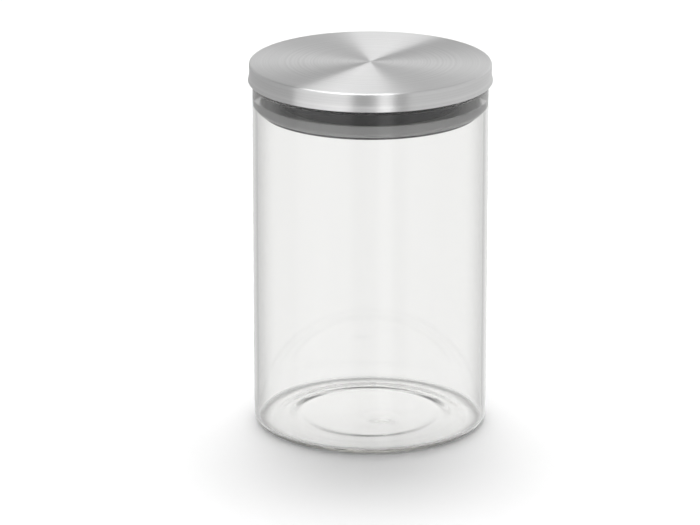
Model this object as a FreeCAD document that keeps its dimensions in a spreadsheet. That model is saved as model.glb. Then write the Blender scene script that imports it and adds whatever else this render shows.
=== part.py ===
import FreeCAD, Part
import math
import os

import Sketcher

# A straight-sided glass canister with a push-in lid.  Every piece is a turned
# or moulded round part on the Z axis.  The origin is the centre of the ring
# that the jar stands on, and +Z points up through the lid.  Millimetres.

SIZES = {
    # Jar: a drawn glass tube with a formed base and a fire-polished rim.
    "glass_radius": 50.0,
    "glass_wall": 2.0,
    "rim_height": 149.8,
    "rim_round": 1.0,
    "heel_round": 3.6,
    "heel_taper": 0.25,
    "heel_taper_height": 11.0,
    "foot_width": 4.6,
    "hollow_bevel": 5.3,
    "hollow_bevel_height": 0.3,
    "hollow_step": 6.75,
    "hollow_height": 1.02,
    "floor_glass": 2.1,
    "corner_round": 1.4,
    "floor_flat": 12.6,
    "floor_step": 7.5,
    "floor_rise": 0.37,
    # Cap: a pressed steel shell, lightly waisted above its hem.
    "cap_radius": 51.45,
    "cap_top": 159.0,
    "cap_sheet": 0.6,
    "cap_edge_round": 0.9,
    "cap_hem": 151.0,
    "cap_hem_flare": 0.4,
    "cap_waist": 0.08,
    "cap_waist_height": 3.2,
    "hem_round": 0.28,
    # Insert: a moulded plug that the cap is pressed on to.
    "core_radius": 40.0,
    "core_wall": 2.0,
    "flange_base": 151.1,
    "flange_plate": 1.6,
    "barrel_wall": 1.6,
    "cap_grip": 0.03,
    "plug_base": 137.75,
    "plug_floor": 2.0,
    "keeper_radius": 45.7,
    "keeper_height": 0.8,
    "keeper_round": 0.35,
    "groove_depth": 1.95,
    "groove_top": 142.1,
    "hub_radius": 5.0,
    "hub_bore": 3.4,
    "rib_width": 1.2,
    "rib_start": 4.2,
    "rib_count": 8.0,
    # Seal: a soft ring in the insert's groove, with one lip that turns up.
    "seal_play": 0.05,
    "sleeve_wall": 1.3,
    "lip_play": 0.07,
    "lip_top": 144.3,
    "lip_reach": 3.2,
    "lip_contact_base": 141.2,
    "lip_curve": 2.95,
    "lip_wall": 1.3,
    "lip_tip_round": 0.4,
    "gutter_round": 1.6,
}


def value(formula):
    """The number that a sum or difference of named sizes stands for."""
    total, sign = 0.0, 1.0
    for word in formula.split():
        if word in ("+", "-"):
            sign = 1.0 if word == "+" else -1.0
        else:
            total += sign * SIZES[word]
    return total


def bound(formula):
    """The same formula as an expression on the sheet's cells."""
    words = [w if w in ("+", "-") else "Sizes." + w for w in formula.split()]
    return " ".join(words)


def make_sheet(doc):
    sheet = doc.addObject("Spreadsheet::Sheet", "Sizes")
    for row, (name, size) in enumerate(SIZES.items(), start=1):
        sheet.set("A%d" % row, name)
        sheet.set("B%d" % row, str(size))
        sheet.setAlias("B%d" % row, name)
    doc.recompute()
    return sheet


def origin_plane(body, role):
    for feature in body.Origin.OriginFeatures:
        if feature.Role == role:
            return feature
    raise ValueError("no plane " + role)


def name_last(sketch, name, formula):
    """Name the newest constraint and bind it to the sheet."""
    sketch.renameConstraint(sketch.ConstraintCount - 1, name)
    sketch.setExpression("Constraints." + name, bound(formula))


def arc_piece(start, end, radius, turn):
    """An arc from start to end; turn is +1 anticlockwise, -1 clockwise."""
    chord = end - start
    half = chord.Length / 2
    rise = math.sqrt(max(value(radius) ** 2 - half * half, 0.0))
    left = FreeCAD.Vector(-chord.y, chord.x, 0).normalize()
    centre = (start + end) / 2 + left * rise * turn
    first, last = (start, end) if turn > 0 else (end, start)
    begin = math.atan2(first.y - centre.y, first.x - centre.x)
    finish = math.atan2(last.y - centre.y, last.x - centre.x)
    if finish < begin:
        finish += 2 * math.pi
    circle = Part.Circle(centre, FreeCAD.Vector(0, 0, 1), (start - centre).Length)
    return Part.ArcOfCircle(circle, begin, finish)


def draw_outline(sketch, corners):
    """A closed outline in (radius, height).

    Each corner is (name, radius formula, height formula) and may add
    (arc radius, turn) when an arc, not a line, leads to the next corner.
    An empty formula is zero.
    """
    places = [FreeCAD.Vector(value(c[1]), value(c[2]), 0) for c in corners]
    ends = []
    for index, corner in enumerate(corners):
        start = places[index]
        end = places[(index + 1) % len(places)]
        if len(corner) > 3:
            radius, turn = corner[3]
            edge = sketch.addGeometry(arc_piece(start, end, radius, turn), False)
            ends.append((edge, 1, 2) if turn > 0 else (edge, 2, 1))
        else:
            edge = sketch.addGeometry(Part.LineSegment(start, end), False)
            ends.append((edge, 1, 2))
    for index, (edge, begin, finish) in enumerate(ends):
        following = ends[(index + 1) % len(ends)]
        sketch.addConstraint(Sketcher.Constraint(
            "Coincident", edge, finish, following[0], following[1]))
    for (edge, begin, finish), corner, place in zip(ends, corners, places):
        name, across, up = corner[:3]
        if across:
            sketch.addConstraint(Sketcher.Constraint("DistanceX", edge, begin, place.x))
            name_last(sketch, name + "_r", across)
        else:
            sketch.addConstraint(Sketcher.Constraint("PointOnObject", edge, begin, -2))
        if up:
            sketch.addConstraint(Sketcher.Constraint("DistanceY", edge, begin, place.y))
            name_last(sketch, name + "_z", up)
        else:
            sketch.addConstraint(Sketcher.Constraint("PointOnObject", edge, begin, -1))
        if len(corner) > 3:
            radius = corner[3][0]
            sketch.addConstraint(Sketcher.Constraint("Radius", edge, value(radius)))
            name_last(sketch, name + "_arc", radius)


def turned_body(doc, label, corners):
    """A body made by turning an outline once round the Z axis."""
    body = doc.addObject("PartDesign::Body", label)
    body.Label = label
    sketch = body.newObject("Sketcher::SketchObject", label + "_outline")
    sketch.AttachmentSupport = [(origin_plane(body, "XZ_Plane"), "")]
    sketch.MapMode = "FlatFace"
    doc.recompute()
    draw_outline(sketch, corners)
    doc.recompute()
    turn = body.newObject("PartDesign::Revolution", label + "_turn")
    turn.Profile = sketch
    turn.ReferenceAxis = (sketch, ["V_Axis"])
    turn.Angle = 360.0
    doc.recompute()
    return body


def make_jar(doc):
    """Tube, rounded heel, standing ring and a base hollowed in two steps."""
    wall = "glass_radius - glass_wall"
    foot = "glass_radius - heel_taper - heel_round"
    ring = foot + " - foot_width"
    bevel = ring + " - hollow_bevel"
    flat = wall + " - corner_round - floor_flat"
    return turned_body(doc, "glass_jar", [
        ("base_middle", "", "hollow_height"),
        ("hollow_edge", bevel + " - hollow_step", "hollow_height"),
        ("bevel_inner", bevel, "hollow_bevel_height"),
        ("ring_inner", ring, ""),
        ("ring_outer", foot, "", ("heel_round", 1)),
        ("heel", "glass_radius - heel_taper", "heel_round"),
        ("side", "glass_radius", "heel_taper_height"),
        ("rim_outer", "glass_radius", "rim_height - rim_round", ("rim_round", 1)),
        ("rim_top", "glass_radius - rim_round", "rim_height", ("rim_round", 1)),
        ("rim_inner", wall, "rim_height - rim_round"),
        ("bore_foot", wall, "floor_glass + corner_round", ("corner_round", -1)),
        ("floor_outer", wall + " - corner_round", "floor_glass"),
        ("step_foot", flat, "floor_glass"),
        ("step_head", flat + " - floor_step", "floor_glass + floor_rise"),
        ("floor_middle", "", "floor_glass + floor_rise"),
    ])


def make_cap(doc):
    """Pressed shell: flat top, rounded edge, waisted skirt, rounded hem."""
    outer = "cap_radius"
    waist = "cap_radius - cap_waist"
    hem = "cap_radius + cap_hem_flare"
    waist_height = "cap_hem + cap_waist_height"
    under = "cap_top - cap_sheet"
    return turned_body(doc, "steel_cap", [
        ("top_middle", "", "cap_top"),
        ("under_middle", "", under),
        ("under_edge", outer + " - cap_edge_round", under),
        ("skirt_inside", outer + " - cap_sheet", "cap_top - cap_edge_round"),
        ("waist_inside", waist + " - cap_sheet", waist_height),
        ("hem_inside", hem + " - cap_sheet", "cap_hem + hem_round"),
        ("hem_low_in", hem + " - cap_sheet + hem_round", "cap_hem"),
        ("hem_low_out", hem + " - hem_round", "cap_hem", ("hem_round", 1)),
        ("hem_out", hem, "cap_hem + hem_round"),
        ("waist", waist, waist_height),
        ("skirt", outer, "cap_top - cap_edge_round", ("cap_edge_round", 1)),
        ("top_edge", outer + " - cap_edge_round", "cap_top"),
    ])


def make_insert(doc):
    """Plug: closed floor, groove for the seal, core, flange and barrel."""
    core = "core_radius"
    bore = "core_radius - core_wall - groove_depth"
    barrel = "cap_radius - cap_waist - cap_sheet + cap_grip"
    under = "cap_top - cap_sheet"
    floor = "plug_base + plug_floor"
    plate = "flange_base + flange_plate"
    body = turned_body(doc, "plug_insert", [
        ("base_middle", "", "plug_base"),
        ("keeper_foot", "keeper_radius - keeper_round", "plug_base", ("keeper_round", 1)),
        ("keeper_side", "keeper_radius", "plug_base + keeper_round"),
        ("keeper_top", "keeper_radius", "plug_base + keeper_height"),
        ("groove_foot", "core_radius - groove_depth", "plug_base + keeper_height"),
        ("groove_head", "core_radius - groove_depth", "groove_top"),
        ("core_foot", core, "groove_top"),
        ("core_head", core, "flange_base"),
        ("flange_under", barrel, "flange_base"),
        ("barrel_top", barrel, under),
        ("barrel_inside", barrel + " - barrel_wall", under),
        ("plate_outer", barrel + " - barrel_wall", plate),
        ("plate_inner", core, plate),
        ("wall_top", core, under),
        ("wall_inside", bore, under),
        ("floor_outer", bore, floor),
        ("hub_foot", "hub_radius", floor),
        ("hub_top", "hub_radius", under),
        ("hub_mouth", "hub_bore", under),
        ("hub_floor", "hub_bore", floor),
        ("floor_middle", "", floor),
    ])
    add_ribs(doc, body, bore)
    return body


def add_ribs(doc, body, bore):
    """Upright ribs from the hub to the wall, which back the cap's flat top."""
    sketch = body.newObject("Sketcher::SketchObject", "rib_plan")
    sketch.AttachmentSupport = [(origin_plane(body, "XY_Plane"), "")]
    sketch.MapMode = "FlatFace"
    sketch.setExpression("AttachmentOffset.Base.z", bound("plug_base + plug_floor"))
    doc.recompute()
    near = value("rib_start")
    far = value(bore + " + rib_width")
    half = value("rib_width") / 2
    places = [(near, -half), (far, -half), (far, half), (near, half)]
    for index, (x, y) in enumerate(places):
        nx, ny = places[(index + 1) % 4]
        sketch.addGeometry(Part.LineSegment(
            FreeCAD.Vector(x, y, 0), FreeCAD.Vector(nx, ny, 0)), False)
    for index in range(4):
        sketch.addConstraint(Sketcher.Constraint(
            "Coincident", index, 2, (index + 1) % 4, 1))
    for index, kind in enumerate(("Horizontal", "Vertical", "Horizontal")):
        sketch.addConstraint(Sketcher.Constraint(kind, index))
    sketch.addConstraint(Sketcher.Constraint("Symmetric", 0, 1, 2, 2, -1))
    sketch.addConstraint(Sketcher.Constraint("DistanceX", 0, 1, near))
    name_last(sketch, "near", "rib_start")
    sketch.addConstraint(Sketcher.Constraint("DistanceX", 0, 2, far))
    name_last(sketch, "far", bore + " + rib_width")
    sketch.addConstraint(Sketcher.Constraint("DistanceY", 1, 1, 1, 2, 2 * half))
    name_last(sketch, "width", "rib_width")
    doc.recompute()
    pad = body.newObject("PartDesign::Pad", "rib")
    pad.Profile = sketch
    pad.setExpression("Length", bound("cap_top - cap_sheet - plug_base - plug_floor"))
    doc.recompute()
    pattern = body.newObject("PartDesign::PolarPattern", "ribs")
    pattern.Originals = [pad]
    pattern.Axis = (sketch, ["N_Axis"])
    pattern.Angle = 360.0
    pattern.setExpression("Occurrences", bound("rib_count"))
    body.Tip = pattern
    doc.recompute()


def make_seal(doc):
    """Sleeve in the groove, a foot over the keeper and a lip turned up."""
    bore = "core_radius - groove_depth + seal_play"
    sleeve = bore + " + sleeve_wall"
    foot = "plug_base + keeper_height + seal_play"
    touch = "glass_radius - glass_wall - lip_play"
    head = "groove_top - seal_play"
    gutter = foot + " + lip_wall"
    inside = touch + " - lip_wall"
    return turned_body(doc, "seal_ring", [
        ("sleeve_foot", bore, foot),
        ("foot_out", touch + " - lip_reach", foot, ("lip_curve", 1)),
        ("contact_low", touch, "lip_contact_base"),
        ("tip_out", touch, "lip_top - lip_tip_round", ("lip_tip_round", 1)),
        ("tip", touch + " - lip_tip_round", "lip_top", ("lip_tip_round", 1)),
        ("tip_in", touch + " - lip_tip_round - lip_tip_round", "lip_top - lip_tip_round"),
        ("lip_inside", inside, gutter + " + gutter_round", ("gutter_round", -1)),
        ("gutter_out", inside + " - gutter_round", gutter),
        ("gutter_in", sleeve, gutter),
        ("sleeve_head", sleeve, head),
        ("sleeve_top", bore, head),
    ])


def check(doc, bodies):
    for item in doc.Objects:
        if "Invalid" in item.State or "Error" in item.State:
            raise RuntimeError("%s failed: %s" % (item.Name, item.State))
    for body in bodies:
        shape = body.Shape
        if shape.isNull() or not shape.isValid() or len(shape.Solids) != 1:
            raise RuntimeError(body.Label + " has no single valid solid")
        for item in body.Group:
            if item.TypeId == "Sketcher::SketchObject" and item.solve() != 0:
                raise RuntimeError(item.Name + " does not solve")


def main():
    doc = FreeCAD.newDocument("glass_canister")
    make_sheet(doc)
    bodies = [make_jar(doc), make_cap(doc), make_insert(doc), make_seal(doc)]
    check(doc, bodies)
    os.makedirs("parts", exist_ok=True)
    for body in bodies:
        body.Shape.exportStep("parts/%s.step" % body.Label)
        box = body.Shape.optimalBoundingBox(False)
        print("%-12s volume %9.1f mm3, z %.2f to %.2f, radius %.2f" % (
            body.Label, body.Shape.Volume, box.ZMin, box.ZMax, box.XMax))


main()
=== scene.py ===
import math

import bpy
import bmesh
from mathutils import Matrix, Vector


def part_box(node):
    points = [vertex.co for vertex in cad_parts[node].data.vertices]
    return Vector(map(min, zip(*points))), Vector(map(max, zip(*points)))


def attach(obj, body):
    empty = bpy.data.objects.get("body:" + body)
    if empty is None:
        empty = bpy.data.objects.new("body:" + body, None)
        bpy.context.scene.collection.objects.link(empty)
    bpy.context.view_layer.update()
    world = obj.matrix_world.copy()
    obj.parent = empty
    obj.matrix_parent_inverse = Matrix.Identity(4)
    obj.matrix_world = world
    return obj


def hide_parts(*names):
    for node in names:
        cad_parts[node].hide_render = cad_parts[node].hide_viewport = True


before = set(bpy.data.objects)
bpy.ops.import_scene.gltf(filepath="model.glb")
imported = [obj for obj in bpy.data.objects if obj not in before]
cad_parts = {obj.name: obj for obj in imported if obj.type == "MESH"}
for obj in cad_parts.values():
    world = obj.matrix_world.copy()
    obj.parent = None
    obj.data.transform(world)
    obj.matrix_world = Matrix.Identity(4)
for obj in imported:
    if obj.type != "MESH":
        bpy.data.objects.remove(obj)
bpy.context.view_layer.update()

# A lidded glass canister: clear jar, brushed steel cap, dark plug insert and
# grey silicone lip seal.  Every piece is turned about the Z axis.  Lengths are
# in metres, and the angles among the named sizes are in degrees.

MM = 0.001
SEGMENTS = 192
ON_AXIS = 1e-9

# ------------------------------------------------------------------- sizes

# Corners of the CAD pieces, read from model.glb.
JAR_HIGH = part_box("glass_jar")[1]
CAP_LOW, CAP_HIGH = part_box("steel_cap")
PLUG_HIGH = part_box("plug_insert")[1]
SEAL_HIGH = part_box("seal_ring")[1]

GLASS_RADIUS = 50.0 * MM
GLASS_WALL = 2.0 * MM
RIM_ROUND = 1.0 * MM
RIM_TOP = JAR_HIGH.z
HEEL_ROUND = 3.6 * MM
HEEL_TAPER = 0.25 * MM
HEEL_TAPER_HEIGHT = 11.0 * MM
# Round steps in the glass, going in: outer radius, inner radius, rise.
HOLLOW_STEPS = [(41.55 * MM, 36.5 * MM, 0.30 * MM), (36.0 * MM, 29.5 * MM, 0.72 * MM)]
FLOOR_STEPS = [(34.0 * MM, 26.5 * MM, 0.37 * MM)]
FLOOR_GLASS = 2.1 * MM
CORNER_ROUND = 1.4 * MM
SWELL_PLACE = Vector((5.0 * MM, -8.0 * MM))
SWELL_OUTER, SWELL_INNER, SWELL_HEIGHT = 9.0 * MM, 1.5 * MM, 0.42 * MM
# The upper side of the floor glass lies between these heights.
FLOOR_SIDE_LOW, FLOOR_SIDE_HIGH = FLOOR_GLASS - 0.5 * MM, FLOOR_GLASS + 2.0 * MM

CAP_RADIUS = 51.45 * MM
CAP_SHEET = 0.6 * MM
CAP_EDGE_ROUND = 0.9 * MM
CAP_HEM_FLARE = 0.4 * MM
CAP_WAIST = 0.08 * MM
CAP_WAIST_HEIGHT = 3.2 * MM
CAP_FIRST_RING = 2.0 * MM
HEM_ROUND = 0.28 * MM

CORE_RADIUS = 40.0 * MM
PLUG_BASE = 137.75 * MM
GROOVE_DEPTH = 1.95 * MM
GROOVE_TOP = 142.1 * MM
FLANGE_BASE = 151.1 * MM
FLANGE_RADIUS = 50.7 * MM
KEEPER_RADIUS = 45.7 * MM
KEEPER_HEIGHT = 0.8 * MM
KEEPER_ROUND = 0.35 * MM
INSERT_SOFTNESS = 0.3 * MM
PLUG_FLOOR = 2.0 * MM
CORE_WALL = 2.0 * MM
BARREL_WALL = 1.6 * MM
FLANGE_PLATE = 1.6 * MM
HUB_RADIUS = 5.0 * MM
HUB_BORE = 3.4 * MM
RIB_COUNT = 8
RIB_WIDTH = 1.2 * MM
RIB_OVERLAP = 0.3 * MM

SEAL_PLAY = 0.05 * MM
SLEEVE_WALL = 1.3 * MM
# The soft lip wets the glass, so it is drawn a hair's breadth into it.
LIP_RADIUS = GLASS_RADIUS - GLASS_WALL + 0.03 * MM
LIP_CONTACT_BASE = 141.2 * MM
LIP_REACH = 3.2 * MM
LIP_WALL = 1.3 * MM
LIP_TIP_ROUND = 0.4 * MM
GUTTER_ROUND = 1.6 * MM

# Corners sharper than this stay sharp in the shading.
MOST_CORNERS, JAR_CORNERS = 40, 60


# ---------------------------------------------------------------- outlines

def arc(centre, radius, start, end, steps):
    """Points on an arc in (radius, height), angles in degrees."""
    points = []
    for step in range(steps + 1):
        angle = math.radians(start + (end - start) * step / steps)
        points.append((centre[0] + radius * math.cos(angle),
                       centre[1] + radius * math.sin(angle)))
    return points


def line(start, end, steps):
    """Points on a straight line, both ends among them."""
    return [(start[0] + (end[0] - start[0]) * step / steps,
             start[1] + (end[1] - start[1]) * step / steps)
            for step in range(steps + 1)]


def smooth(share):
    """An even share from 0 to 1, made to start and end gently."""
    share = min(max(share, 0.0), 1.0)
    return share * share * (3 - 2 * share)


def steps_rise(radius, steps):
    """Height gained going in over round steps: (outer radius, inner, rise)."""
    return sum(rise * smooth((outer - radius) / (outer - inner))
               for outer, inner, rise in steps)


def jar_outline():
    """From the middle of the underside, up the outside, down to the floor."""
    foot_outer = GLASS_RADIUS - HEEL_TAPER - HEEL_ROUND
    bore = GLASS_RADIUS - GLASS_WALL
    corner = (bore - CORNER_ROUND, FLOOR_GLASS + CORNER_ROUND)
    rim_centre = (GLASS_RADIUS - RIM_ROUND, RIM_TOP - RIM_ROUND)
    hollow = HOLLOW_STEPS[0][0]
    base_steps, heel_steps, taper_steps, wall_steps, round_steps = 60, 14, 6, 24, 16
    points = [(hollow * step / base_steps,
               steps_rise(hollow * step / base_steps, HOLLOW_STEPS))
              for step in range(base_steps + 1)]
    points += arc((foot_outer, HEEL_ROUND), HEEL_ROUND, -90, 0, heel_steps)
    points += [(GLASS_RADIUS - HEEL_TAPER * (1 - smooth(step / taper_steps)),
                HEEL_ROUND + (HEEL_TAPER_HEIGHT - HEEL_ROUND) * step / taper_steps)
               for step in range(1, taper_steps + 1)]
    points += line((GLASS_RADIUS, HEEL_TAPER_HEIGHT), (GLASS_RADIUS, rim_centre[1]),
                   wall_steps)[1:-1]
    points += arc(rim_centre, RIM_ROUND, 0, 180, round_steps)
    points += line((bore, rim_centre[1]), (bore, corner[1]), wall_steps)[1:-1]
    points += arc(corner, CORNER_ROUND, 0, -90, round_steps)
    points += [(corner[0] * step / base_steps,
                FLOOR_GLASS + steps_rise(corner[0] * step / base_steps, FLOOR_STEPS))
               for step in range(base_steps - 1, -1, -1)]
    return points


def cap_outline():
    """One pressed sheet: flat top, rounded edge, and a skirt with a hem."""
    top, hem = CAP_HIGH.z, CAP_LOW.z
    edge = (CAP_RADIUS - CAP_EDGE_ROUND, top - CAP_EDGE_ROUND)
    inner = CAP_EDGE_ROUND - CAP_SHEET
    rise = edge[1] - hem
    top_steps, edge_steps, skirt_steps, hem_steps = 30, 12, 20, 5

    def skirt(share, inset):
        """The skirt's side, from its hem at 0 to the top edge at 1."""
        flare = CAP_HEM_FLARE * (1 - smooth(share * rise / CAP_WAIST_HEIGHT))
        waist = CAP_WAIST * math.sin(math.pi * share)
        return (CAP_RADIUS + flare - waist - inset, hem + rise * share)

    low = HEM_ROUND / rise
    side = [low + (1 - low) * step / skirt_steps for step in range(skirt_steps + 1)]
    hem_out = skirt(low, HEM_ROUND)
    hem_in = skirt(low, CAP_SHEET - HEM_ROUND)
    points = [(0, top)]
    points += line((CAP_FIRST_RING, top), (edge[0], top), top_steps)[:-1]
    points += arc(edge, CAP_EDGE_ROUND, 90, 0, edge_steps)
    points += [skirt(share, 0) for share in reversed(side[:-1])]
    points += arc(hem_out, HEM_ROUND, 0, -90, hem_steps)[1:]
    points += arc(hem_in, HEM_ROUND, -90, -180, hem_steps)
    points += [skirt(share, CAP_SHEET) for share in side[1:]]
    points += arc(edge, inner, 0, 90, hem_steps)[1:]
    points += [(0, top - CAP_SHEET)]
    return points[::-1]


def insert_outline():
    """The insert: floor, keeper, seal groove, flange and barrel, hub and core."""
    base, top = PLUG_BASE, PLUG_HIGH.z
    soft = INSERT_SOFTNESS
    groove = CORE_RADIUS - GROOVE_DEPTH
    keeper = (KEEPER_RADIUS - KEEPER_ROUND, base + KEEPER_ROUND)
    step_top = base + KEEPER_HEIGHT
    bend = (CORE_RADIUS + 2 * soft, FLANGE_BASE - 2 * soft)
    plate = FLANGE_BASE + FLANGE_PLATE
    barrel = FLANGE_RADIUS - BARREL_WALL
    bore = groove - CORE_WALL
    floor = base + PLUG_FLOOR
    floor_steps, round_steps, soft_steps, wall_steps = 20, 6, 4, 6
    points = line((0, base), (keeper[0], base), floor_steps)[:-1]
    points += arc(keeper, KEEPER_ROUND, -90, 0, round_steps)
    points += [(KEEPER_RADIUS, step_top), (groove, step_top), (groove, GROOVE_TOP)]
    points += arc((CORE_RADIUS - soft, GROOVE_TOP + soft), soft, -90, 0, soft_steps)
    points += line((CORE_RADIUS, GROOVE_TOP + soft), (CORE_RADIUS, bend[1]), wall_steps)[1:]
    points += arc(bend, 2 * soft, 180, 90, round_steps)[1:]
    points += [(FLANGE_RADIUS - soft, FLANGE_BASE), (FLANGE_RADIUS, FLANGE_BASE + soft)]
    points += [(FLANGE_RADIUS, top), (barrel, top), (barrel, plate), (CORE_RADIUS, plate)]
    points += [(CORE_RADIUS, top), (bore, top), (bore, floor), (HUB_RADIUS, floor)]
    points += [(HUB_RADIUS, top), (HUB_BORE, top), (HUB_BORE, floor), (0, floor)]
    return points


def seal_outline():
    """The ring in its groove, with its lip pressed flat against the glass."""
    bore = CORE_RADIUS - GROOVE_DEPTH + SEAL_PLAY
    sleeve = bore + SLEEVE_WALL
    head = GROOVE_TOP - SEAL_PLAY
    foot = PLUG_BASE + KEEPER_HEIGHT
    tip = (LIP_RADIUS - LIP_TIP_ROUND, SEAL_HIGH.z - LIP_TIP_ROUND)
    curl = LIP_RADIUS - LIP_REACH
    drop = LIP_CONTACT_BASE - foot
    gutter = (LIP_RADIUS - LIP_WALL - GUTTER_ROUND, foot + LIP_WALL + GUTTER_ROUND)
    curl_steps, tip_steps, gutter_steps = 12, 10, 8
    turns = [math.pi / 2 * step / curl_steps for step in range(1, curl_steps + 1)]
    points = [(bore, foot), (curl, foot)]
    points += [(curl + LIP_REACH * math.sin(turn), LIP_CONTACT_BASE - drop * math.cos(turn))
               for turn in turns]
    points += arc(tip, LIP_TIP_ROUND, 0, 180, tip_steps)
    points += arc(gutter, GUTTER_ROUND, 0, -90, gutter_steps)
    points += [(sleeve, foot + LIP_WALL), (sleeve, head), (bore, head)]
    return points


# ------------------------------------------------------------------ meshes

def lathe(name, outline, closed):
    """A turned mesh.  An open outline starts and ends on the axis."""
    mesh = bmesh.new()
    rings = []
    for radius, height in outline:
        if radius < ON_AXIS:
            rings.append([mesh.verts.new((0, 0, height))])
            continue
        ring = []
        for step in range(SEGMENTS):
            angle = 2 * math.pi * step / SEGMENTS
            ring.append(mesh.verts.new((radius * math.cos(angle),
                                        radius * math.sin(angle), height)))
        rings.append(ring)
    pairs = list(zip(rings, rings[1:]))
    if closed:
        pairs.append((rings[-1], rings[0]))
    for low, high in pairs:
        for step in range(SEGMENTS):
            after = (step + 1) % SEGMENTS
            if len(low) == 1:
                mesh.faces.new((low[0], high[after], high[step]))
            elif len(high) == 1:
                mesh.faces.new((low[step], low[after], high[0]))
            else:
                mesh.faces.new((low[step], low[after], high[after], high[step]))
    bmesh.ops.recalc_face_normals(mesh, faces=mesh.faces)
    for face in mesh.faces:
        face.smooth = True
    data = bpy.data.meshes.new(name)
    mesh.to_mesh(data)
    mesh.free()
    piece = bpy.data.objects.new(name, data)
    bpy.context.scene.collection.objects.link(piece)
    return piece


def keep_corners(piece, degrees):
    """Shade smooth, but keep the corners that are sharper than this."""
    piece.data.set_sharp_from_angle(angle=math.radians(degrees))


def raise_swelling(piece):
    """A low swelling in the floor glass, a little off the middle."""
    for vertex in piece.data.vertices:
        place = vertex.co
        if FLOOR_SIDE_LOW < place.z < FLOOR_SIDE_HIGH:
            away = (place.xy - SWELL_PLACE).length
            share = smooth((SWELL_OUTER - away) / (SWELL_OUTER - SWELL_INNER))
            place.z += SWELL_HEIGHT * share


def add_ribs(piece):
    """Upright ribs inside the plug, from its hub to its wall."""
    near = HUB_RADIUS - RIB_OVERLAP
    far = CORE_RADIUS - GROOVE_DEPTH - CORE_WALL + RIB_OVERLAP
    low = PLUG_BASE + PLUG_FLOOR - RIB_OVERLAP
    size = Vector((far - near, RIB_WIDTH, PLUG_HIGH.z - low))
    middle = Vector(((near + far) / 2, 0, (low + PLUG_HIGH.z) / 2))
    mesh = bmesh.new()
    mesh.from_mesh(piece.data)
    for index in range(RIB_COUNT):
        rib = bmesh.ops.create_cube(mesh, size=1.0)["verts"]
        turn = Matrix.Rotation(2 * math.pi * index / RIB_COUNT, 3, "Z")
        bmesh.ops.scale(mesh, verts=rib, vec=size)
        bmesh.ops.translate(mesh, verts=rib, vec=middle)
        bmesh.ops.rotate(mesh, verts=rib, matrix=turn, cent=(0, 0, 0))
    mesh.to_mesh(piece.data)
    mesh.free()


# ------------------------------------------------------------ shader helpers

def node(tree, kind, inputs=None, **settings):
    """A shader node with its settings, and its inputs set or linked."""
    made = tree.nodes.new(kind)
    for name, setting in settings.items():
        setattr(made, name, setting)
    for name, source in (inputs or {}).items():
        if isinstance(source, bpy.types.NodeSocket):
            tree.links.new(source, made.inputs[name])
        else:
            made.inputs[name].default_value = source
    return made


def maths(tree, operation, *values):
    """The outcome of one sum, whose values are numbers or sockets."""
    made = node(tree, "ShaderNodeMath", dict(enumerate(values)), operation=operation)
    return made.outputs[0]


def vector_value(tree, operation, *vectors):
    """A number worked out from vectors: a length or a dot product."""
    made = node(tree, "ShaderNodeVectorMath", dict(enumerate(vectors)), operation=operation)
    return made.outputs["Value"]


def ramp(tree, source, low, high, to_low=0.0, to_high=1.0):
    """A smooth change from one value to another as the source goes up."""
    made = node(tree, "ShaderNodeMapRange", {
        "Value": source, "From Min": low, "From Max": high,
        "To Min": to_low, "To Max": to_high}, interpolation_type="SMOOTHSTEP")
    return made.outputs["Result"]


def band(tree, source, low, high, edge):
    """1 between low and high, falling to 0 over the edge's width."""
    rise = ramp(tree, source, low - edge / 2, low + edge / 2)
    fall = ramp(tree, source, high - edge / 2, high + edge / 2, 1.0, 0.0)
    return maths(tree, "MULTIPLY", rise, fall)


def choose(tree, factor, low, high):
    """low where the factor is 0 and high where it is 1."""
    rest = maths(tree, "SUBTRACT", 1.0, factor)
    return maths(tree, "ADD", maths(tree, "MULTIPLY", rest, low),
                 maths(tree, "MULTIPLY", factor, high))


def noise(tree, place, scale, detail):
    """Soft noise from 0 to 1 at a place on the piece."""
    made = node(tree, "ShaderNodeTexNoise", {
        "Vector": place, "Scale": scale, "Detail": detail})
    return made.outputs["Fac"]


def plain_mix(tree, factor, low, high):
    """A colour between two, by a factor."""
    mix = tree.nodes.new("ShaderNodeMix")
    mix.data_type = "RGBA"
    tree.links.new(factor, mix.inputs["Factor"])
    colours = [socket for socket in mix.inputs if socket.type == "RGBA"]
    colours[0].default_value = (*low, 1)
    colours[1].default_value = (*high, 1)
    return [socket for socket in mix.outputs if socket.type == "RGBA"][0]


def axis_distance(tree, parts):
    """The distance from the Z axis of a place that is split in its parts."""
    across = node(tree, "ShaderNodeCombineXYZ", {
        "X": parts.outputs["X"], "Y": parts.outputs["Y"]})
    return vector_value(tree, "LENGTH", across.outputs[0])


def piece_place(tree):
    """A place on the piece, in metres."""
    return node(tree, "ShaderNodeTexCoord").outputs["Object"]


def new_material(name):
    material = bpy.data.materials.new(name)
    material.use_nodes = True
    tree = material.node_tree
    return material, tree, tree.nodes["Principled BSDF"]


def set_sockets(shader, **sockets):
    """Even values, set on the shader's own sockets."""
    for name, setting in sockets.items():
        shader.inputs[name.replace("_", " ")].default_value = setting


def add_bump(tree, shader, height, strength, depth):
    bump = node(tree, "ShaderNodeBump", {
        "Height": height, "Strength": strength, "Distance": depth})
    tree.links.new(bump.outputs[0], shader.inputs["Normal"])


# --------------------------------------------------------------- materials

# The glass's tint, with faint upright streaks painted into it that stand in for soft window
# reflections.
GLASS_TINTS_AND_PAINTED_STREAKS = (0.93, 0.93, 0.925), (0.95, 0.95, 0.945)
PAINTED_STREAK_SCALE, PAINTED_STREAK_STRETCH = 60.0, (1, 1, 0.03)
GLASS_DEPTH_COLOUR, GLASS_DEPTH_DENSITY = (0.80, 0.795, 0.75, 1), 14.0
# Light that passes through to other surfaces, in the wall and in the heel.
WALL_PASS, HEEL_PASS = (0.95, 0.95, 0.95), (0.45, 0.45, 0.45)
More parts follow.
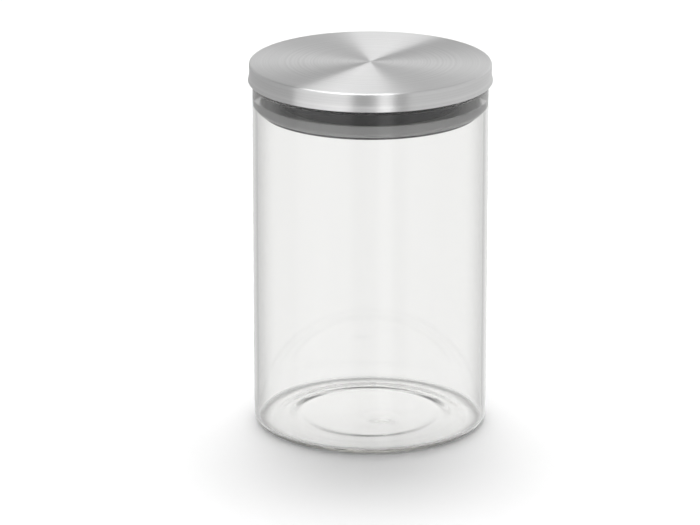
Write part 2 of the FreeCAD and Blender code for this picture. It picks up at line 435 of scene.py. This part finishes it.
# The heel's shade grows over these distances from the axis, and fades upward.
HEEL_SHADE_RADII = 43 * MM, 47 * MM
HEEL_SHADE_HEIGHTS = 2 * MM, 14 * MM

FINE_BRUSHING, WIDE_BRUSHING, STEEL_PATCHES = 3400.0, 900.0, 35.0
STREAK_LOW, STREAK_HIGH = 0.6, 1.4
STEEL_DARK, STEEL_LIGHT = 0.57, 0.68
STEEL_ROUGHNESS = (0.29, 0.32)
BRUSHING_STRENGTH, BRUSHING_DEPTH = 0.45, 0.02 * MM

FLOW_SCALE, FLOW_SPREAD, WEAR_SPREAD = 45.0, 0.08, 0.1
SKIN_STRENGTH, SKIN_DEPTH = 0.3, 0.01 * MM
# Most of a noise lies between these.
NOISE_LOW, NOISE_HIGH = 0.3, 0.7


def glass_material():
    """Clear drawn tube: almost even, with faint upright streaks painted into its tint here and
    there, standing in for soft window reflections.
    """
    material, tree, shader = new_material("clear_glass")
    set_sockets(shader, Roughness=0.0, IOR=1.47, Transmission_Weight=1.0)
    place = piece_place(tree)
    stretched = node(tree, "ShaderNodeMapping", {"Vector": place, "Scale": PAINTED_STREAK_STRETCH})
    # Painted reflection: faint upright streaks in the tint.
    painted_streaks = noise(tree, stretched.outputs[0], PAINTED_STREAK_SCALE, detail=1.0)
    tree.links.new(plain_mix(tree, painted_streaks, *GLASS_TINTS_AND_PAINTED_STREAKS), shader.inputs["Base Color"])
    absorb = node(tree, "ShaderNodeVolumeAbsorption", {
        "Color": GLASS_DEPTH_COLOUR, "Density": GLASS_DEPTH_DENSITY})
    out = tree.nodes["Material Output"]
    tree.links.new(absorb.outputs[0], out.inputs["Volume"])
    # Light on its way to other surfaces goes straight through, less in the heel.
    path = node(tree, "ShaderNodeLightPath")
    passing = maths(tree, "MAXIMUM", path.outputs["Is Diffuse Ray"],
                    path.outputs["Is Shadow Ray"])
    parts = node(tree, "ShaderNodeSeparateXYZ", {"Vector": place})
    outer = ramp(tree, axis_distance(tree, parts), *HEEL_SHADE_RADII)
    low = ramp(tree, parts.outputs["Z"], *HEEL_SHADE_HEIGHTS, 1.0, 0.0)
    heel = maths(tree, "MULTIPLY", outer, low)
    clear = node(tree, "ShaderNodeBsdfTransparent", {
        "Color": plain_mix(tree, heel, WALL_PASS, HEEL_PASS)})
    mix = node(tree, "ShaderNodeMixShader", {
        0: passing, 1: shader.outputs[0], 2: clear.outputs[0]})
    tree.links.new(mix.outputs[0], out.inputs["Surface"])
    return material


def brushing(tree, along, scale, **more):
    """Noise in one direction only, so it makes rings round the middle."""
    made = node(tree, "ShaderNodeTexNoise", {"W": along, "Scale": scale, **more},
                noise_dimensions="1D")
    return made.outputs["Fac"]


def steel_material():
    """Stainless sheet with fine turned brushing round the cap's middle."""
    material, tree, shader = new_material("brushed_steel")
    set_sockets(shader, Metallic=1.0, Anisotropic=1.0, Anisotropic_Rotation=0.25)
    place = piece_place(tree)
    parts = node(tree, "ShaderNodeSeparateXYZ", {"Vector": place})
    # One number that grows along the sheet from the middle, then down the skirt.
    along = maths(tree, "SUBTRACT", axis_distance(tree, parts), parts.outputs["Z"])
    fine = brushing(tree, along, FINE_BRUSHING, Detail=3.0, Roughness=0.7)
    wide = brushing(tree, along, WIDE_BRUSHING, Detail=2.0)
    streak = maths(tree, "ADD", fine, wide)
    shade = node(tree, "ShaderNodeMapRange", {
        "Value": streak, "From Min": STREAK_LOW, "From Max": STREAK_HIGH,
        "To Min": STEEL_DARK, "To Max": STEEL_LIGHT}).outputs[0]
    grey = node(tree, "ShaderNodeCombineColor", {"Red": shade, "Green": shade, "Blue": shade})
    tree.links.new(grey.outputs[0], shader.inputs["Base Color"])
    patch = noise(tree, place, STEEL_PATCHES, detail=2.0)
    rough = ramp(tree, patch, NOISE_LOW, NOISE_HIGH, *STEEL_ROUGHNESS)
    tree.links.new(rough, shader.inputs["Roughness"])
    add_bump(tree, shader, streak, BRUSHING_STRENGTH, BRUSHING_DEPTH)
    tangent = node(tree, "ShaderNodeTangent", direction_type="RADIAL", axis="Z")
    tree.links.new(tangent.outputs[0], shader.inputs["Tangent"])
    return material


def moulded(name, colour, roughness, specular, grain):
    """Smooth moulded surface: faint flow marks and a fine skin."""
    material, tree, shader = new_material(name)
    set_sockets(shader, IOR=1.5, Specular_IOR_Level=specular)
    place = piece_place(tree)
    flow = noise(tree, place, FLOW_SCALE, detail=3.0)
    skin = noise(tree, place, grain, detail=2.0)
    tint = plain_mix(tree, flow, [(1 - FLOW_SPREAD) * c for c in colour],
                     [(1 + FLOW_SPREAD) * c for c in colour])
    tree.links.new(tint, shader.inputs["Base Color"])
    rough = ramp(tree, flow, NOISE_LOW, NOISE_HIGH,
                 roughness * (1 - WEAR_SPREAD), roughness * (1 + WEAR_SPREAD))
    tree.links.new(rough, shader.inputs["Roughness"])
    add_bump(tree, shader, skin, SKIN_STRENGTH, SKIN_DEPTH)
    return material


def dark_plastic():
    return moulded("dark_plastic", (0.05, 0.05, 0.053), roughness=0.18, specular=0.5, grain=900.0)


def grey_silicone():
    return moulded("grey_silicone", (0.27, 0.27, 0.27), roughness=0.42, specular=0.4, grain=1400.0)


# ------------------------------------------------------------------ pieces

def build_piece(name, outline, closed, body, replaced, material, corners=MOST_CORNERS):
    piece = lathe(name, outline, closed)
    keep_corners(piece, corners)
    piece.data.materials.append(material)
    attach(piece, body)
    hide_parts(replaced)
    return piece


def build_canister():
    jar = build_piece("jar_glass", jar_outline(), False, "jar", "glass_jar",
                      glass_material(), JAR_CORNERS)
    raise_swelling(jar)
    build_piece("cap_shell", cap_outline(), False, "lid", "steel_cap",
                steel_material())
    plug = build_piece("plug_body", insert_outline(), False, "lid", "plug_insert",
                       dark_plastic())
    add_ribs(plug)
    build_piece("lip_seal", seal_outline(), True, "seal", "seal_ring",
                grey_silicone())


# ------------------------------------------------------------------- floor

FLOOR_SIZE = 6.0
FLOOR_TINTS = (0.93, 0.93, 0.93), (0.95, 0.95, 0.95)
MOTTLE_SCALE = 8.0
# Glass and steel stop seeing the floor between these distances from its middle.
FADE_START, FADE_END = 0.044, 0.052
# Painted light: a glow that the floor gives off under the canister, standing in for light that the
# glass base gathers, and where it ends.
PAINTED_BASE_GLOW = 0.22
PAINTED_GLOW_START, PAINTED_GLOW_END = 40 * MM, 50 * MM


def floor_material():
    """White paper, with a painted glow under the canister.  Glass and steel see it only under the
    canister.
    """
    material, tree, shader = new_material("pale_floor")
    # The white emission colour carries the painted glow under the canister.
    set_sockets(shader, Roughness=0.8, Specular_IOR_Level=0.1, Emission_Color=(1, 1, 1, 1))
    place = piece_place(tree)
    mottle = noise(tree, place, MOTTLE_SCALE, detail=2.0)
    tree.links.new(plain_mix(tree, mottle, *FLOOR_TINTS), shader.inputs["Base Color"])
    away = vector_value(tree, "LENGTH", place)
    # Painted light: the floor glows under the canister's base, fading out towards its edge.
    painted_glow = ramp(tree, away, PAINTED_GLOW_START, PAINTED_GLOW_END, PAINTED_BASE_GLOW, 0.0)
    tree.links.new(painted_glow, shader.inputs["Emission Strength"])
    fade = ramp(tree, away, FADE_START, FADE_END)
    path = node(tree, "ShaderNodeLightPath")
    bent = maths(tree, "MAXIMUM", path.outputs["Is Glossy Ray"],
                 path.outputs["Is Transmission Ray"])
    clear = node(tree, "ShaderNodeBsdfTransparent")
    mix = node(tree, "ShaderNodeMixShader", {
        0: maths(tree, "MULTIPLY", bent, fade), 1: shader.outputs[0], 2: clear.outputs[0]})
    tree.links.new(mix.outputs[0], tree.nodes["Material Output"].inputs["Surface"])
    return material


def build_floor():
    half = FLOOR_SIZE / 2
    data = bpy.data.meshes.new("floor")
    data.from_pydata([(-half, -half, 0), (half, -half, 0), (half, half, 0), (-half, half, 0)],
                     [], [(0, 1, 2, 3)])
    floor = bpy.data.objects.new("floor", data)
    bpy.context.scene.collection.objects.link(floor)
    floor.data.materials.append(floor_material())


# ------------------------------------------------------------ surroundings

# A turn is 0 at the camera's side, positive to the right, and 180 at the back.
# A lift is 0 at the horizon and 90 overhead.  A ramp is the two ends of what
# it follows, then the light at each end.

# Seen through the glass: white, with a dark flag at each side of the back.
SIDE_FLAG, SIDE_SHADE = (128, 164, 20), 0.42
BACK_LIFT_RAMP = (22.0, 35.0, 1.0, 0.2)

# What lights the floor: even light, and a large lamp high over the back.
EVEN_LIGHT = 0.61
LAMP_LIFT, LAMP_MIDDLE, LAMP_EDGE, LAMP_STRENGTH = 66, 6, 26, 6.3

# What shows in the steel, the glass and the plastic.
MIRROR_BEHIND_RAMP = (60.0, 150.0, 0.76, 0.74)
MIRROR_HIGH_RAMP = (20.0, 40.0, 1.0, 0.72)
MIRROR_LOW_RAMP = (-10.0, 0.0, 0.82, 1.0)
MIRROR_ACROSS_RAMP = (-0.25, 0.25, 0.90, 1.28)
# Softboxes: turns, lifts, edge widths, strength.  A black flag is below 0.
MIRROR_BOXES = [
    ((-14, 6), (-70, 45), (12, 10), -0.22),
    ((24, 36), (-70, 45), (6, 10), -0.30),
    ((-76, -19), (-70, 45), (8, 10), 0.48),
    ((8, 21), (-70, 45), (4, 10), 0.42),
    ((-62, 28), (45, 70), (6, 8), 3.0),
]

# The box over the back.  Its two sides are given by the fans on the lid that
# mirror them at the mirror lift, as an angle round the lid and an edge ramp.
# Its rise and fall follow how far a direction points up, from 0 to 1.
MIRROR_LIFT = 17.3
FIRST_FAN, FIRST_EDGE = -35, (-0.01, 0.01, 0.0, 1.0)
SECOND_FAN, SECOND_EDGE = 13.5, (-0.12, 0.12, 1.0, 0.0)
OVERHEAD_RISE = (0.68, 0.80, 0.0, 1.8)
OVERHEAD_FALL = (0.88, 0.97, 1.0, 0.2)


def box_light(tree, turn, lift, turns, lifts, edges, strength):
    """A softbox in the surroundings, between two turns and two lifts."""
    mask = maths(tree, "MULTIPLY", band(tree, turn, *turns, edges[0]),
                 band(tree, lift, *lifts, edges[1]))
    return maths(tree, "MULTIPLY", mask, strength)


def fan_side(tree, way, fan):
    """How far a way lies beyond the plane that a brushed fan mirrors."""
    angle = math.radians(fan)
    grain = (math.cos(angle), math.sin(angle), 0)
    return maths(tree, "SUBTRACT", vector_value(tree, "DOT_PRODUCT", way, grain),
                 math.cos(math.radians(MIRROR_LIFT)) * math.sin(angle))


def overhead_box(tree, way, up):
    """A box over the back, whose two sides point at the lid's mirror line."""
    height = maths(tree, "MULTIPLY", ramp(tree, up, *OVERHEAD_RISE),
                   ramp(tree, up, *OVERHEAD_FALL))
    first = ramp(tree, fan_side(tree, way, FIRST_FAN), *FIRST_EDGE)
    second = ramp(tree, fan_side(tree, way, SECOND_FAN), *SECOND_EDGE)
    return maths(tree, "MULTIPLY", maths(tree, "MULTIPLY", first, second), height)


def light_behind(tree, turn, lift):
    """What is seen through the glass."""
    flag = band(tree, maths(tree, "ABSOLUTE", turn), *SIDE_FLAG)
    white = maths(tree, "SUBTRACT", 1.0, maths(tree, "MULTIPLY", flag, SIDE_SHADE))
    return maths(tree, "MULTIPLY", white, ramp(tree, lift, *BACK_LIFT_RAMP))


def cast_light(tree, way):
    """What lights the floor: even light and a large lamp over the back."""
    lift = math.radians(LAMP_LIFT)
    aim = (0, math.cos(lift), math.sin(lift))
    lamp = ramp(tree, vector_value(tree, "DOT_PRODUCT", way, aim),
                math.cos(math.radians(LAMP_EDGE)), math.cos(math.radians(LAMP_MIDDLE)),
                0.0, LAMP_STRENGTH)
    return maths(tree, "ADD", EVEN_LIGHT, lamp)


def mirrored_light(tree, way, parts, turn, lift):
    """What shows in the steel, the glass and the plastic."""
    light = ramp(tree, maths(tree, "ABSOLUTE", turn), *MIRROR_BEHIND_RAMP)
    for source, ends in [(lift, MIRROR_HIGH_RAMP), (lift, MIRROR_LOW_RAMP),
                         (parts.outputs["X"], MIRROR_ACROSS_RAMP)]:
        light = maths(tree, "MULTIPLY", light, ramp(tree, source, *ends))
    for box in MIRROR_BOXES:
        light = maths(tree, "ADD", light, box_light(tree, turn, lift, *box))
    return maths(tree, "ADD", light, overhead_box(tree, way, parts.outputs["Z"]))


def build_surroundings():
    """Studio light, set apart for what is lit, seen through glass or mirrored."""
    world = bpy.data.worlds.new("studio")
    bpy.context.scene.world = world
    world.cycles.sampling_method = "NONE"
    world.use_nodes = True
    tree = world.node_tree
    tree.nodes.clear()
    way = node(tree, "ShaderNodeTexCoord").outputs["Generated"]
    parts = node(tree, "ShaderNodeSeparateXYZ", {"Vector": way})
    ahead = maths(tree, "MULTIPLY", parts.outputs["Y"], -1.0)
    turn = maths(tree, "DEGREES", maths(tree, "ARCTAN2", parts.outputs["X"], ahead))
    lift = maths(tree, "DEGREES", maths(tree, "ARCSINE", parts.outputs["Z"]))
    path = node(tree, "ShaderNodeLightPath")
    strength = mirrored_light(tree, way, parts, turn, lift)
    for ray, light in [("Is Diffuse Ray", cast_light(tree, way)),
                       ("Is Transmission Ray", light_behind(tree, turn, lift)),
                       ("Is Camera Ray", 1.0)]:
        strength = choose(tree, path.outputs[ray], strength, light)
    shade = node(tree, "ShaderNodeBackground", {"Color": (1, 1, 1, 1), "Strength": strength})
    out = node(tree, "ShaderNodeOutputWorld")
    tree.links.new(shade.outputs[0], out.inputs["Surface"])


# ------------------------------------------------------------------ camera

CAMERA_MIDDLE = Vector((0, 0, 80 * MM))
CAMERA_AIM = Vector((-8.65 * MM, -2.88 * MM, 70.8 * MM))
CAMERA_DISTANCE = 1.9158
CAMERA_LIFT = 17.31
CAMERA_SENSOR, CAMERA_LENS = 36.0, 230.2


def build_camera():
    """A long lens, a little above the lid, that leaves room on the left."""
    lift = math.radians(CAMERA_LIFT)
    data = bpy.data.cameras.new("camera")
    data.sensor_width = CAMERA_SENSOR
    data.lens = CAMERA_LENS
    camera = bpy.data.objects.new("camera", data)
    camera.location = CAMERA_MIDDLE + CAMERA_DISTANCE * Vector((0, -math.cos(lift), math.sin(lift)))
    camera.rotation_euler = (CAMERA_AIM - camera.location).to_track_quat("-Z", "Y").to_euler()
    bpy.context.scene.collection.objects.link(camera)
    bpy.context.scene.camera = camera


# Enough for light that runs round inside the glass.
LIGHT_BOUNCES = 24


def set_light():
    """Colours as they are, and enough bounces."""
    scene = bpy.context.scene
    scene.view_settings.view_transform = "Standard"
    scene.cycles.glossy_bounces = LIGHT_BOUNCES
    scene.cycles.max_bounces = LIGHT_BOUNCES
    scene.cycles.transmission_bounces = LIGHT_BOUNCES


build_canister()
build_floor()
build_surroundings()
build_camera()
set_light()
